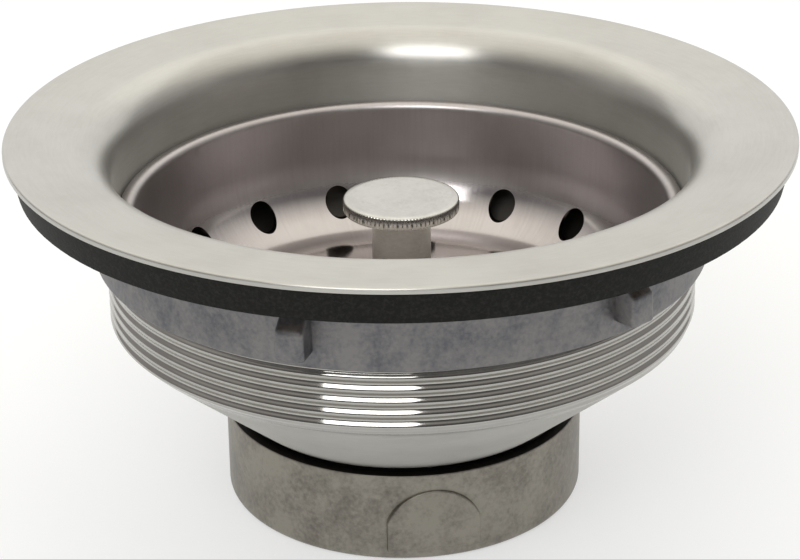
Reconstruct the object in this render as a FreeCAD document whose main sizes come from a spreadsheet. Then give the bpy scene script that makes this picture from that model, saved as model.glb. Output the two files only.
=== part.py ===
import FreeCAD, Part
import math
import os
import PartDesign
import Sketcher
from FreeCAD import Placement, Rotation, Vector

# Kitchen sink basket strainer, as separate pieces in one frame.
# Origin: centre of the flange rim's underside, where it meets the sink deck. +Z is up the drain axis.
# Lengths in millimetres, angles in degrees. Depths are measured down from the origin.

SIZES = {
    # flange and throat of the bowl
    "throat_bore": 83.8,
    "flange_width": 15.25,
    "sheet_gauge": 0.8,
    "flange_angle": 4.0,
    "flange_edge_round": 0.35,
    "throat_round": 6.0,
    # rolled thread on the bowl, 14 turns per inch
    "body_thread_pitch": 1.814,
    "body_thread_depth": 0.7,
    "body_thread_foot": 1.3,
    "body_thread_crest": 0.5,
    "body_thread_run_past": 0.6,
    "body_thread_top_gap": 1.14,
    "thread_bury": 0.45,
    # bottom of the bowl
    "knuckle_depth": 26.3,
    "knuckle_round": 2.0,
    "bowl_angle": 40.0,
    "outlet_hole_diameter": 42.0,
    "outlet_ring_width": 4.0,
    # outlet neck, 11.5 turns per inch
    "spigot_wall": 1.55,
    "neck_wall": 3.3,
    "neck_length": 10.51,
    "neck_thread_pitch": 2.209,
    "neck_thread_depth": 0.8,
    "neck_thread_foot": 1.2,
    "neck_thread_crest": 0.4,
    "neck_thread_end_gap": 1.2,
    "neck_thread_length": 7.8,
    "neck_end_chamfer": 0.6,
    "swage_fit": 0.05,
    "swage_lip_reach": 1.6,
    "swage_lip_gauge": 0.7,
    # cross that guides the stem
    "cross_drop": 2.715,
    "cross_height": 1.6,
    "cross_ring_width": 1.4,
    "cross_fit": 0.05,
    "cross_spoke_width": 3.6,
    "cross_spoke_count": 4,
    "hub_diameter": 11.0,
    "hub_height": 3.0,
    # rubber gasket
    "gasket_gap": 0.15,
    "gasket_inset": 0.75,
    "gasket_taper": 1.0,
    "gasket_clearance": 0.9,
    "gasket_depth": 4.8,
    "gasket_relief": 3.0,
    # fibre washer
    "friction_washer_clearance": 1.0,
    "friction_washer_width": 6.1,
    "friction_washer_gauge": 0.9,
    # locknut
    "locknut_gap": 0.1,
    "locknut_height": 11.2,
    "locknut_clearance": 0.3,
    "locknut_wall": 1.3,
    "locknut_edge": 0.4,
    "locknut_flange_width": 3.5,
    "locknut_flange_gauge": 2.0,
    "locknut_thread_depth": 0.7,
    "locknut_thread_foot": 0.9,
    "locknut_thread_crest": 0.3,
    "locknut_thread_length": 7.0,
    "locknut_thread_lead": 1.6,
    "lug_count": 6,
    "lug_width": 4.2,
    "lug_height": 7.0,
    "lug_reach": 3.4,
    "lug_lift": 2.6,
    "lug_taper": 0.5,
    "lug_phase_angle": 41.0,
    # tailpiece washer and coupling nut
    "washer_gap": 0.1,
    "tail_washer_side_gap": 1.3,
    "tail_washer_bore_step": 0.5,
    "tail_washer_gauge": 1.6,
    "nut_clearance": 0.6,
    "nut_wall": 2.7,
    "nut_top_gap": 0.39,
    "nut_lip_gauge": 2.0,
    "nut_top_chamfer": 0.9,
    "nut_bottom_round": 1.2,
    "nut_thread_depth": 1.1,
    "nut_thread_foot": 1.2,
    "nut_thread_crest": 0.4,
    "nut_thread_length": 5.4,
    "nut_thread_turns_up": 0.5,
    "pad_count": 2,
    "pad_width": 13.6,
    "pad_side_height": 4.6,
    "pad_arch_round": 7.2,
    "pad_proud": 0.35,
    "pad_lift": 0.8,
    "pad_phase_angle": 9.0,
    # basket cup
    "cup_gauge": 0.6,
    "rim_clearance": 0.4,
    "rim_width": 2.6,
    "rim_depth": 10.4,
    "rim_round": 0.75,
    "rim_edge_round": 0.7,
    "rim_skirt": 1.6,
    "cup_draft_angle": 0.5,
    "cup_drop": 3.9,
    "cup_corner_round": 11.0,
    "cup_hole_diameter": 4.45,
    "cup_hole_lift": 4.4,
    "cup_hole_count": 17,
    "cup_hole_phase_angle": 5.4,
    # post, knob and stem
    "running_fit": 0.05,
    "floor_gap": 0.12,
    "post_diameter": 8.7,
    "post_foot_round": 0.5,
    "stem_diameter": 6.4,
    "stem_past_hub": 0.6,
    "stem_tip_round": 1.6,
    "knob_diameter": 17.1,
    "knob_thickness": 1.9,
    "knob_drop": 0.2,
    "knob_edge": 0.3,
    "knob_stud_diameter": 4.4,
    "knob_stud_length": 6.0,
    "stud_fit": 0.05,
    "knurl_count": 72,
    "knurl_depth": 0.3,
    # stopper stack under the cup
    "stack_fit": 0.05,
    "backing_washer_diameter": 24.0,
    "backing_washer_gauge": 0.9,
    "stopper_neck_diameter": 22.0,
    "stopper_neck_height": 3.4,
    "stopper_overlap": 2.0,
    "stopper_rim_height": 1.6,
    "stopper_seat_width": 1.9,
    "seat_gap": 0.3,
    "stopper_wall": 2.6,
    "retaining_washer_diameter": 18.0,
    "retaining_washer_gauge": 0.9,
    "retaining_nut_across_flats": 10.0,
    "retaining_nut_height": 4.4,
    "retaining_nut_half_angle": 30.0,
}


class Dim:
    """A size as the spreadsheet expression that drives it and the value it has now."""

    def __init__(self, text, value):
        self.text = text
        self.value = value

    def joined(self, sign, other, value):
        """Expression of this size and another, with the value worked out beside it."""
        return Dim(f"({self.text} {sign} {other.text})", value)

    def __add__(self, other):
        other = as_dim(other)
        return self.joined("+", other, self.value + other.value)

    def __sub__(self, other):
        other = as_dim(other)
        return self.joined("-", other, self.value - other.value)

    def __mul__(self, other):
        other = as_dim(other)
        return self.joined("*", other, self.value * other.value)

    def __truediv__(self, other):
        other = as_dim(other)
        return self.joined("/", other, self.value / other.value)

    def __neg__(self):
        return Dim(f"(0 - {self.text})", -self.value)


def as_dim(number):
    """A plain number as a Dim, or the Dim itself."""
    if isinstance(number, Dim):
        return number
    return Dim(repr(float(number)), float(number))


def sine(angle):
    """Sine of an angle in degrees."""
    return Dim(f"sin({angle.text} * 1 deg)", math.sin(math.radians(angle.value)))


def cosine(angle):
    """Cosine of an angle in degrees."""
    return Dim(f"cos({angle.text} * 1 deg)", math.cos(math.radians(angle.value)))


def tangent(angle):
    """Tangent of an angle in degrees."""
    return sine(angle) / cosine(angle)


def whole(number):
    """A number cut down to the whole number below it."""
    return Dim(f"floor({number.text})", math.floor(number.value))


class Bend:
    """An arc from the corner before it to the corner after it; turn is 1 for anticlockwise."""

    def __init__(self, radius, turn):
        self.radius = as_dim(radius)
        self.turn = turn


doc = FreeCAD.newDocument("SinkStrainer")
sheet = doc.addObject("Spreadsheet::Sheet", "Sizes")
size = {}
for row, (alias, number) in enumerate(SIZES.items(), start=1):
    sheet.set(f"A{row}", alias)
    sheet.set(f"B{row}", str(number))
    sheet.setAlias(f"B{row}", alias)
    size[alias] = Dim(f"Sizes.{alias}", float(number))
doc.recompute()


def radius_of(alias):
    """Half of a named diameter or bore."""
    return size[alias] / 2


def new_body(label):
    """An empty body whose name is the piece's file name."""
    body = doc.addObject("PartDesign::Body", label)
    body.Label = label
    body.Placement = Placement(Vector(0, 0, 0), Rotation(Vector(0, 0, 1), 0))
    return body


def origin_item(body, role):
    """The plane or axis of the body's own origin with this role."""
    return next(item for item in body.Origin.OriginFeatures if item.Role == role)


def new_sketch(body, name, role, offset=None):
    """A sketch on one of the body's origin planes, lifted off it by an offset."""
    sketch = body.newObject("Sketcher::SketchObject", name)
    sketch.AttachmentSupport = [(origin_item(body, role), "")]
    sketch.MapMode = "FlatFace"
    if offset is not None:
        sketch.setExpression("AttachmentOffset.Base.z", offset.text)
    return sketch


def pin_point(sketch, geometry, end, corner):
    """Bind a sketch point's two coordinates to their expressions."""
    for kind, axis, amount in (("DistanceX", -2, corner[0]), ("DistanceY", -1, corner[1])):
        if amount.value == 0:
            sketch.addConstraint(Sketcher.Constraint("PointOnObject", geometry, end, axis))
            continue
        row = sketch.addConstraint(Sketcher.Constraint(kind, -1, 1, geometry, end, amount.value))
        sketch.setExpression(f"Constraints[{row}]", amount.text)


def arc_between(start, end, bend):
    """Circular arc between two corners, always run anticlockwise, and whether its ends swapped."""
    first, last = (start, end) if bend.turn > 0 else (end, start)
    x0, y0 = first[0].value, first[1].value
    x1, y1 = last[0].value, last[1].value
    half = math.hypot(x1 - x0, y1 - y0) / 2
    rise = math.sqrt(max(bend.radius.value ** 2 - half ** 2, 0))
    cx = (x0 + x1) / 2 - (y1 - y0) / (2 * half) * rise
    cy = (y0 + y1) / 2 + (x1 - x0) / (2 * half) * rise
    circle = Part.Circle(Vector(cx, cy, 0), Vector(0, 0, 1), bend.radius.value)
    angles = math.atan2(y0 - cy, x0 - cx), math.atan2(y1 - cy, x1 - cx)
    return Part.ArcOfCircle(circle, *angles), bend.turn < 0


def draw_outline(sketch, path):
    """A closed outline through corners (x, y), with a Bend where two corners join by an arc."""
    corners = []
    bends = []
    for item in path:
        if isinstance(item, Bend):
            bends[-1] = item
        else:
            corners.append((as_dim(item[0]), as_dim(item[1])))
            bends.append(None)
    ends = []
    for index, corner in enumerate(corners):
        after = corners[(index + 1) % len(corners)]
        if bends[index] is None:
            line = Part.LineSegment(
                Vector(corner[0].value, corner[1].value, 0), Vector(after[0].value, after[1].value, 0)
            )
            ends.append((sketch.addGeometry(line, False), 1, 2))
            continue
        arc, swapped = arc_between(corner, after, bends[index])
        geometry = sketch.addGeometry(arc, False)
        ends.append((geometry, 2, 1) if swapped else (geometry, 1, 2))
    for index, (geometry, begin, finish) in enumerate(ends):
        following = ends[(index + 1) % len(ends)]
        sketch.addConstraint(
            Sketcher.Constraint("Coincident", geometry, finish, following[0], following[1])
        )
        pin_point(sketch, geometry, begin, corners[index])
        if bends[index] is not None:
            row = sketch.addConstraint(
                Sketcher.Constraint("Radius", geometry, bends[index].radius.value)
            )
            sketch.setExpression(f"Constraints[{row}]", bends[index].radius.text)


def draw_circle(sketch, centre, radius):
    """A circle with its centre and radius bound to their expressions."""
    centre = as_dim(centre[0]), as_dim(centre[1])
    circle = Part.Circle(Vector(centre[0].value, centre[1].value, 0), Vector(0, 0, 1), radius.value)
    geometry = sketch.addGeometry(circle, False)
    pin_point(sketch, geometry, 3, centre)
    row = sketch.addConstraint(Sketcher.Constraint("Radius", geometry, radius.value))
    sketch.setExpression(f"Constraints[{row}]", radius.text)


def turned(body, name, path):
    """A solid of revolution about Z from an outline of (radius, height)."""
    sketch = new_sketch(body, f"{name}_profile", "XZ_Plane")
    draw_outline(sketch, path)
    feature = body.newObject("PartDesign::Revolution", name)
    feature.Profile = sketch
    feature.ReferenceAxis = (sketch, ["V_Axis"])
    feature.Angle = 360.0
    return feature


def helical_ridge(body, name, root, tip, foot, crest, low, pitch, length):
    """A right-hand thread ridge from radius root to radius tip, starting at height low."""
    sketch = new_sketch(body, f"{name}_profile", "XZ_Plane")
    draw_outline(
        sketch,
        [
            (root, low - foot / 2),
            (tip, low - crest / 2),
            (tip, low + crest / 2),
            (root, low + foot / 2),
        ],
    )
    feature = body.newObject("PartDesign::AdditiveHelix", name)
    feature.Profile = sketch
    feature.ReferenceAxis = (sketch, ["V_Axis"])
    feature.Mode = 0
    feature.setExpression("Pitch", pitch.text)
    feature.setExpression("Height", length.text)
    feature.LeftHanded = False
    return feature


def around(body, name, feature, count):
    """A feature repeated evenly about Z."""
    pattern = body.newObject("PartDesign::PolarPattern", name)
    pattern.Originals = [feature]
    pattern.Axis = (origin_item(body, "Z_Axis"), [""])
    pattern.Angle = 360.0
    pattern.setExpression("Occurrences", count.text)
    body.Tip = pattern
    return pattern


def padded(body, name, sketch, length, reverse=False):
    """A sketch pushed out into a solid."""
    feature = body.newObject("PartDesign::Pad", name)
    feature.Profile = sketch
    feature.setExpression("Length", length.text)
    feature.Reversed = reverse
    return feature


def pocketed(body, name, sketch, length, reverse=False):
    """A sketch cut into the solid so far."""
    feature = body.newObject("PartDesign::Pocket", name)
    feature.Profile = sketch
    feature.setExpression("Length", length.text)
    feature.Reversed = reverse
    return feature


# Heights and radii that several pieces share.
gauge = size["sheet_gauge"]
slope = size["flange_angle"]
wall_inside = radius_of("throat_bore")
flange_radius = wall_inside + size["flange_width"]
wall_outside = wall_inside + gauge
rim_top = gauge / cosine(slope)
throat = size["throat_round"]
throat_x = wall_inside + throat
throat_z = rim_top - (flange_radius - throat_x) * tangent(slope) - throat / cosine(slope)
bowl = size["bowl_angle"]
knuckle = size["knuckle_round"]
knuckle_x = wall_outside - knuckle
knuckle_z = -size["knuckle_depth"]
cone_x = knuckle_x + knuckle * sine(bowl)
cone_z = knuckle_z - knuckle * cosine(bowl)
outlet_hole = radius_of("outlet_hole_diameter")
ring_radius = outlet_hole + size["outlet_ring_width"]
ring_under = cone_z - (cone_x - ring_radius) * tangent(bowl)
ring_top = ring_under + gauge
cone_in_x = knuckle_x + (knuckle - gauge) * sine(bowl)
cone_in_z = knuckle_z - (knuckle - gauge) * cosine(bowl)
ring_in_radius = cone_in_x - (cone_in_z - ring_top) / tangent(bowl)
thread_crest = wall_outside + size["body_thread_depth"]
neck_end = ring_under - size["neck_length"]
nut_lip_top = neck_end - size["washer_gap"] * 2 - size["tail_washer_gauge"]
nut_bottom = nut_lip_top - size["nut_lip_gauge"]
nut_top = ring_under - size["nut_top_gap"]
stem_radius = radius_of("stem_diameter")
cup_floor = knuckle_z - size["cup_drop"]
cup_under = cup_floor - size["cup_gauge"]

# Bowl: one drawn sheet from the flange rim down to the outlet hole, with its rolled thread.
edge = size["flange_edge_round"]
strainer_body = new_body("strainer_body")
turned(
    strainer_body,
    "shell",
    [
        (flange_radius, 0),
        (flange_radius, rim_top - edge),
        Bend(edge, 1),
        (flange_radius - edge * cosine(slope), rim_top - edge * tangent(slope)),
        (throat_x - throat * sine(slope), throat_z + throat * cosine(slope)),
        Bend(throat, 1),
        (wall_inside, throat_z),
        (wall_inside, knuckle_z),
        Bend(knuckle - gauge, -1),
        (cone_in_x, cone_in_z),
        (ring_in_radius, ring_top),
        (outlet_hole, ring_top),
        (outlet_hole, ring_under),
        (ring_radius, ring_under),
        (cone_x, cone_z),
        Bend(knuckle, 1),
        (wall_outside, knuckle_z),
        (wall_outside, throat_z),
        Bend(throat - gauge, -1),
        (throat_x - (throat - gauge) * sine(slope), throat_z + (throat - gauge) * cosine(slope)),
    ],
)
body_thread_low = knuckle_z - size["body_thread_run_past"]
helical_ridge(
    strainer_body,
    "rolled_thread",
    wall_outside - size["thread_bury"],
    thread_crest,
    size["body_thread_foot"],
    size["body_thread_crest"],
    body_thread_low,
    size["body_thread_pitch"],
    throat_z - size["body_thread_top_gap"] - body_thread_low,
)

# Outlet neck: threaded collar under the bowl, its top edge swaged over inside.
spigot = outlet_hole - size["swage_fit"]
neck_inside = spigot - size["spigot_wall"]
neck_root = neck_inside + size["neck_wall"]
neck_crest = neck_root + size["neck_thread_depth"]
swage_low = ring_top + size["swage_fit"]
swage_top = swage_low + size["swage_lip_gauge"]
swage_reach = outlet_hole + size["swage_lip_reach"]
chamfer = size["neck_end_chamfer"]
outlet_neck = new_body("outlet_neck")
turned(
    outlet_neck,
    "collar",
    [
        (neck_inside, neck_end),
        (neck_root - chamfer, neck_end),
        (neck_root, neck_end + chamfer),
        (neck_root, ring_under),
        (spigot, ring_under),
        (spigot, swage_low),
        (swage_reach, swage_low),
        (swage_reach, swage_top),
        (neck_inside, swage_top),
    ],
)
neck_thread_low = neck_end + size["neck_thread_end_gap"]
helical_ridge(
    outlet_neck,
    "pipe_thread",
    neck_root - size["thread_bury"],
    neck_crest,
    size["neck_thread_foot"],
    size["neck_thread_crest"],
    neck_thread_low,
    size["neck_thread_pitch"],
    size["neck_thread_length"],
)

# Cross: hub that guides the stem, four spokes and a ring pressed in the neck.
cross_top = ring_top - size["cross_drop"]
cross_low = cross_top - size["cross_height"]
cross_rim = neck_inside - size["cross_fit"]
hub_radius = radius_of("hub_diameter")
hub_low = cross_top - size["hub_height"]
hub_hole = stem_radius + size["running_fit"]
outlet_cross = new_body("outlet_cross")
turned(
    outlet_cross,
    "hub",
    [
        (hub_hole, hub_low),
        (hub_radius, hub_low),
        (hub_radius, cross_top),
        (hub_hole, cross_top),
    ],
)
spoke_start = (hub_hole + hub_radius) / 2
spoke_sketch = new_sketch(outlet_cross, "spoke_section", "XZ_Plane", spoke_start)
half_spoke = size["cross_spoke_width"] / 2
draw_outline(
    spoke_sketch,
    [
        (-half_spoke, cross_low),
        (half_spoke, cross_low),
        (half_spoke, cross_top),
        (-half_spoke, cross_top),
    ],
)
spoke_end = cross_rim - size["cross_ring_width"] / 2
spoke = padded(outlet_cross, "spoke", spoke_sketch, spoke_end - spoke_start)
around(outlet_cross, "spokes", spoke, size["cross_spoke_count"])
turned(
    outlet_cross,
    "ring",
    [
        (cross_rim - size["cross_ring_width"], cross_low),
        (cross_rim, cross_low),
        (cross_rim, cross_top),
        (cross_rim - size["cross_ring_width"], cross_top),
    ],
)

# Gasket: rubber ring whose top follows the sloping flange.
gasket_top = -size["gasket_gap"]
gasket_low = -size["gasket_depth"]
gasket_outer = flange_radius - size["gasket_inset"]
gasket_inner = thread_crest + size["gasket_clearance"]
relief = size["gasket_relief"]
flange_gasket = new_body("flange_gasket")
turned(
    flange_gasket,
    "gasket_ring",
    [
        (gasket_inner, gasket_low),
        (gasket_outer - size["gasket_taper"], gasket_low),
        (gasket_outer, gasket_top - (flange_radius - gasket_outer) * tangent(slope)),
        (
            gasket_inner + relief,
            gasket_top - (flange_radius - gasket_inner - relief) * tangent(slope),
        ),
        (gasket_inner, gasket_top - (flange_radius - gasket_inner) * tangent(slope) - relief),
    ],
)

# Fibre washer that lets the nut turn under the gasket.
friction_low = gasket_low - size["friction_washer_gauge"]
friction_inner = thread_crest + size["friction_washer_clearance"]
friction_outer = friction_inner + size["friction_washer_width"]
friction_washer = new_body("friction_washer")
turned(
    friction_washer,
    "washer_ring",
    [
        (friction_inner, friction_low),
        (friction_outer, friction_low),
        (friction_outer, gasket_low),
        (friction_inner, gasket_low),
    ],
)

# Locknut: bearing flange, ring, six lugs and a thread half a pitch off the bowl's.
locknut_top = friction_low - size["locknut_gap"]
locknut_low = locknut_top - size["locknut_height"]
locknut_inner = thread_crest + size["locknut_clearance"]
locknut_outer = locknut_inner + size["locknut_wall"]
locknut_flange = locknut_outer + size["locknut_flange_width"]
locknut_step = locknut_top - size["locknut_flange_gauge"]
nut_edge = size["locknut_edge"]
locknut = new_body("locknut")
turned(
    locknut,
    "nut_ring",
    [
        (locknut_inner + nut_edge, locknut_low),
        (locknut_outer - nut_edge, locknut_low),
        Bend(nut_edge, 1),
        (locknut_outer, locknut_low + nut_edge),
        (locknut_outer, locknut_step),
        (locknut_flange, locknut_step),
        (locknut_flange, locknut_top),
        (locknut_inner + nut_edge, locknut_top),
        (locknut_inner, locknut_top - nut_edge),
        (locknut_inner, locknut_low + nut_edge),
    ],
)
lug_root = (locknut_inner + locknut_outer) / 2
lug_sketch = new_sketch(locknut, "lug_section", "XZ_Plane", lug_root)
half_lug = size["lug_width"] / 2
lug_low = locknut_low + size["lug_lift"]
lug_top = lug_low + size["lug_height"]
draw_outline(
    lug_sketch,
    [
        (-half_lug, lug_low),
        (half_lug, lug_low),
        (half_lug - size["lug_taper"], lug_top),
        (size["lug_taper"] - half_lug, lug_top),
    ],
)
lug = padded(locknut, "lug", lug_sketch, locknut_outer + size["lug_reach"] - lug_root)
around(locknut, "lugs", lug, size["lug_count"])
locknut_rise = locknut_low + size["locknut_thread_lead"] - body_thread_low
locknut_turns = whole(locknut_rise / size["body_thread_pitch"]) + 0.5 + size["lug_phase_angle"] / 360
locknut_thread_low = body_thread_low + size["body_thread_pitch"] * locknut_turns
helical_ridge(
    locknut,
    "nut_thread",
    locknut_inner + size["thread_bury"],
    locknut_inner - size["locknut_thread_depth"],
    size["locknut_thread_foot"],
    size["locknut_thread_crest"],
    locknut_thread_low,
    size["body_thread_pitch"],
    size["locknut_thread_length"],
)

# Tailpiece washer under the neck's end.
tail_top = neck_end - size["washer_gap"]
tail_low = tail_top - size["tail_washer_gauge"]
nut_inner = neck_crest + size["nut_clearance"]
nut_outer = nut_inner + size["nut_wall"]
tail_inner = neck_inside + size["tail_washer_bore_step"]
tail_outer = nut_inner - size["tail_washer_side_gap"]
tailpiece_washer = new_body("tailpiece_washer")
turned(
    tailpiece_washer,
    "washer_ring",
    [
        (tail_inner, tail_low),
        (tail_outer, tail_low),
        (tail_outer, tail_top),
        (tail_inner, tail_top),
    ],
)

# Coupling nut: lip that carries the tailpiece, threaded wall, two flat oval pads.
top_chamfer = size["nut_top_chamfer"]
low_round = size["nut_bottom_round"]
coupling_nut = new_body("coupling_nut")
turned(
    coupling_nut,
    "nut_wall",
    [
        (neck_inside, nut_bottom),
        (nut_outer - low_round, nut_bottom),
        Bend(low_round, 1),
        (nut_outer, nut_bottom + low_round),
        (nut_outer, nut_top),
        (nut_inner + top_chamfer, nut_top),
        (nut_inner, nut_top - top_chamfer),
        (nut_inner, nut_lip_top),
        (neck_inside, nut_lip_top),
    ],
)
pad_root = (nut_inner + nut_outer) / 2
pad_sketch = new_sketch(coupling_nut, "pad_outline", "XZ_Plane", pad_root)
half_pad = size["pad_width"] / 2
pad_low = nut_bottom + size["pad_lift"] + low_round
pad_high = pad_low + size["pad_side_height"]
draw_outline(
    pad_sketch,
    [
        (-half_pad, pad_low),
        (half_pad, pad_low),
        (half_pad, pad_high),
        Bend(size["pad_arch_round"], 1),
        (-half_pad, pad_high),
    ],
)
pad = padded(coupling_nut, "pad", pad_sketch, nut_outer + size["pad_proud"] - pad_root)
around(coupling_nut, "pads", pad, size["pad_count"])
nut_turns = size["nut_thread_turns_up"] + size["pad_phase_angle"] / 360
nut_thread_low = neck_thread_low + size["neck_thread_pitch"] * nut_turns
helical_ridge(
    coupling_nut,
    "slip_thread",
    nut_inner + size["thread_bury"],
    nut_inner - size["nut_thread_depth"],
    size["nut_thread_foot"],
    size["nut_thread_crest"],
    nut_thread_low,
    size["neck_thread_pitch"],
    size["nut_thread_length"],
)

# Basket cup: flat rolled rim, tapered wall, rounded corner with its ring of holes, flat floor.
cup_sheet = size["cup_gauge"]
draft = size["cup_draft_angle"]
corner = size["cup_corner_round"]
rim_round = size["rim_round"]
rim_edge = size["rim_edge_round"]
rim_outer = wall_inside - size["rim_clearance"]
cup_rim = -size["rim_depth"]
rim_low = cup_rim - size["rim_skirt"]
wall_top_x = rim_outer - size["rim_width"]
wall_top_z = cup_rim - rim_round + rim_round * sine(draft)
rim_x = wall_top_x + rim_round * cosine(draft)
rim_z = cup_rim - rim_round
corner_z = cup_floor + corner
wall_low_z = corner_z - corner * sine(draft)
wall_low_x = wall_top_x - (wall_top_z - wall_low_z) * tangent(draft)
corner_x = wall_low_x - corner * cosine(draft)
floor_hole = stem_radius + size["running_fit"]
basket_cup = new_body("basket_cup")
turned(
    basket_cup,
    "cup_shell",
    [
        (floor_hole, cup_under),
        (corner_x, cup_under),
        Bend(corner + cup_sheet, 1),
        (
            corner_x + (corner + cup_sheet) * cosine(draft),
            corner_z - (corner + cup_sheet) * sine(draft),
        ),
        (
            rim_x - (rim_round - cup_sheet) * cosine(draft),
            rim_z + (rim_round - cup_sheet) * sine(draft),
        ),
        Bend(rim_round - cup_sheet, -1),
        (rim_x, cup_rim - cup_sheet),
        (rim_outer - rim_edge, cup_rim - cup_sheet),
        Bend(rim_edge - cup_sheet, -1),
        (rim_outer - cup_sheet, cup_rim - rim_edge),
        (rim_outer - cup_sheet, rim_low),
        (rim_outer, rim_low),
        (rim_outer, cup_rim - rim_edge),
        Bend(rim_edge, 1),
        (rim_outer - rim_edge, cup_rim),
        (rim_x, cup_rim),
        Bend(rim_round, 1),
        (wall_top_x, wall_top_z),
        (wall_low_x, wall_low_z),
        Bend(corner, -1),
        (corner_x, cup_floor),
        (floor_hole, cup_floor),
    ],
)
hole_sketch = new_sketch(basket_cup, "hole_circle", "XZ_Plane", stem_radius * 2)
draw_circle(hole_sketch, (0, cup_floor + size["cup_hole_lift"]), radius_of("cup_hole_diameter"))
hole = pocketed(basket_cup, "hole", hole_sketch, rim_outer, True)
around(basket_cup, "holes", hole, size["cup_hole_count"])

# Post with its guide stem; a blind hole in the top takes the knob's stud.
post_radius = radius_of("post_diameter")
post_low = cup_floor + size["floor_gap"]
knob_top = cup_rim - size["knob_drop"]
knob_low = knob_top - size["knob_thickness"]
stud_radius = radius_of("knob_stud_diameter")
stud_hole = stud_radius + size["stud_fit"]
stud_low = knob_low - size["knob_stud_length"]
stem_low = hub_low - size["stem_past_hub"]
tip = size["stem_tip_round"]
foot = size["post_foot_round"]
basket_post = new_body("basket_post")
turned(
    basket_post,
    "post_turning",
    [
        (0, stem_low),
        (stem_radius - tip, stem_low),
        Bend(tip, 1),
        (stem_radius, stem_low + tip),
        (stem_radius, post_low),
        (post_radius - foot, post_low),
        Bend(foot, 1),
        (post_radius, post_low + foot),
        (post_radius, knob_low),
        (stud_hole, knob_low),
        (stud_hole, stud_low - size["stud_fit"]),
        (0, stud_low - size["stud_fit"]),
    ],
)

# Knob: knurled disc with a stud.
knob_radius = radius_of("knob_diameter")
knob_edge = size["knob_edge"]
basket_knob = new_body("basket_knob")
turned(
    basket_knob,
    "knob_disc",
    [
        (0, stud_low),
        (stud_radius, stud_low),
        (stud_radius, knob_low),
        (knob_radius - knob_edge, knob_low),
        Bend(knob_edge, 1),
        (knob_radius, knob_low + knob_edge),
        (knob_radius, knob_top - knob_edge),
        Bend(knob_edge, 1),
        (knob_radius - knob_edge, knob_top),
        (0, knob_top),
    ],
)
knurl_sketch = new_sketch(basket_knob, "knurl_notch", "XY_Plane", knob_low - knob_edge)
knurl = size["knurl_depth"]
draw_outline(
    knurl_sketch,
    [
        (knob_radius - knurl, 0),
        (knob_radius + knurl, -knurl * 2),
        (knob_radius + knurl, knurl * 2),
    ],
)
notch = pocketed(basket_knob, "notch", knurl_sketch, size["knob_thickness"] + knob_edge * 2, True)
around(basket_knob, "knurls", notch, size["knurl_count"])

# Stopper stack on the stem, under the cup's floor.
stack_bore = stem_radius + size["stack_fit"]
backing_top = cup_under - size["floor_gap"]
backing_low = backing_top - size["backing_washer_gauge"]
backing_washer = new_body("backing_washer")
turned(
    backing_washer,
    "washer_ring",
    [
        (stack_bore, backing_low),
        (radius_of("backing_washer_diameter"), backing_low),
        (radius_of("backing_washer_diameter"), backing_top),
        (stack_bore, backing_top),
    ],
)
stopper_outer = ring_radius + size["stopper_overlap"]
stopper_neck = radius_of("stopper_neck_diameter")
stopper_low = backing_low - size["stopper_neck_height"]
seat_lift = size["seat_gap"] / cosine(bowl)
seat_in = stopper_outer - size["stopper_seat_width"]
seat_high = cone_in_z - (cone_in_x - stopper_outer) * tangent(bowl) + seat_lift
seat_low = cone_in_z - (cone_in_x - seat_in) * tangent(bowl) + seat_lift
stopper_seal = new_body("stopper_seal")
turned(
    stopper_seal,
    "stopper_bell",
    [
        (stack_bore, stopper_low),
        (stopper_neck, stopper_low),
        (seat_in - size["stopper_rim_height"] / 2, seat_low + size["stopper_rim_height"] / 4),
        (seat_in, seat_low),
        (stopper_outer, seat_high),
        (stopper_outer, seat_high + size["stopper_rim_height"]),
        (stopper_neck, stopper_low + size["stopper_wall"]),
        (stopper_neck, backing_low),
        (stack_bore, backing_low),
    ],
)
retaining_low = stopper_low - size["retaining_washer_gauge"]
retaining_washer = new_body("retaining_washer")
turned(
    retaining_washer,
    "washer_ring",
    [
        (stack_bore, retaining_low),
        (radius_of("retaining_washer_diameter"), retaining_low),
        (radius_of("retaining_washer_diameter"), stopper_low),
        (stack_bore, stopper_low),
    ],
)
flat = radius_of("retaining_nut_across_flats")
point = flat / cosine(size["retaining_nut_half_angle"])
retaining_nut = new_body("retaining_nut")
hexagon = new_sketch(retaining_nut, "hexagon", "XY_Plane", retaining_low)
draw_outline(
    hexagon,
    [
        (point, 0),
        (point / 2, flat),
        (-point / 2, flat),
        (-point, 0),
        (-point / 2, -flat),
        (point / 2, -flat),
    ],
)
draw_circle(hexagon, (0, 0), stack_bore)
padded(retaining_nut, "nut_block", hexagon, size["retaining_nut_height"], True)

# Turn the patterned pieces to the angles seen in the photo; the nuts' threads allow for it.
locknut.setExpression("Placement.Rotation.Angle", size["lug_phase_angle"].text)
coupling_nut.setExpression("Placement.Rotation.Angle", size["pad_phase_angle"].text)
basket_cup.setExpression("Placement.Rotation.Angle", size["cup_hole_phase_angle"].text)
doc.recompute()

PIECES = [
    strainer_body,
    outlet_neck,
    outlet_cross,
    flange_gasket,
    friction_washer,
    locknut,
    tailpiece_washer,
    coupling_nut,
    basket_cup,
    basket_post,
    basket_knob,
    backing_washer,
    stopper_seal,
    retaining_washer,
    retaining_nut,
]

for thing in doc.Objects:
    if "Invalid" in thing.State or "Error" in thing.State:
        raise RuntimeError(f"{thing.Label}: {thing.State}")
os.makedirs("parts", exist_ok=True)
for piece in PIECES:
    shape = piece.Shape
    if shape.isNull() or not shape.isValid():
        raise RuntimeError(f"{piece.Label}: shape is null or not valid")
    if len(shape.Solids) != 1:
        raise RuntimeError(f"{piece.Label}: {len(shape.Solids)} solids")
    shape.exportStep(f"parts/{piece.Label}.step")
    print(f"{piece.Label}: {shape.Volume / 1000:.2f} cm3")
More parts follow.
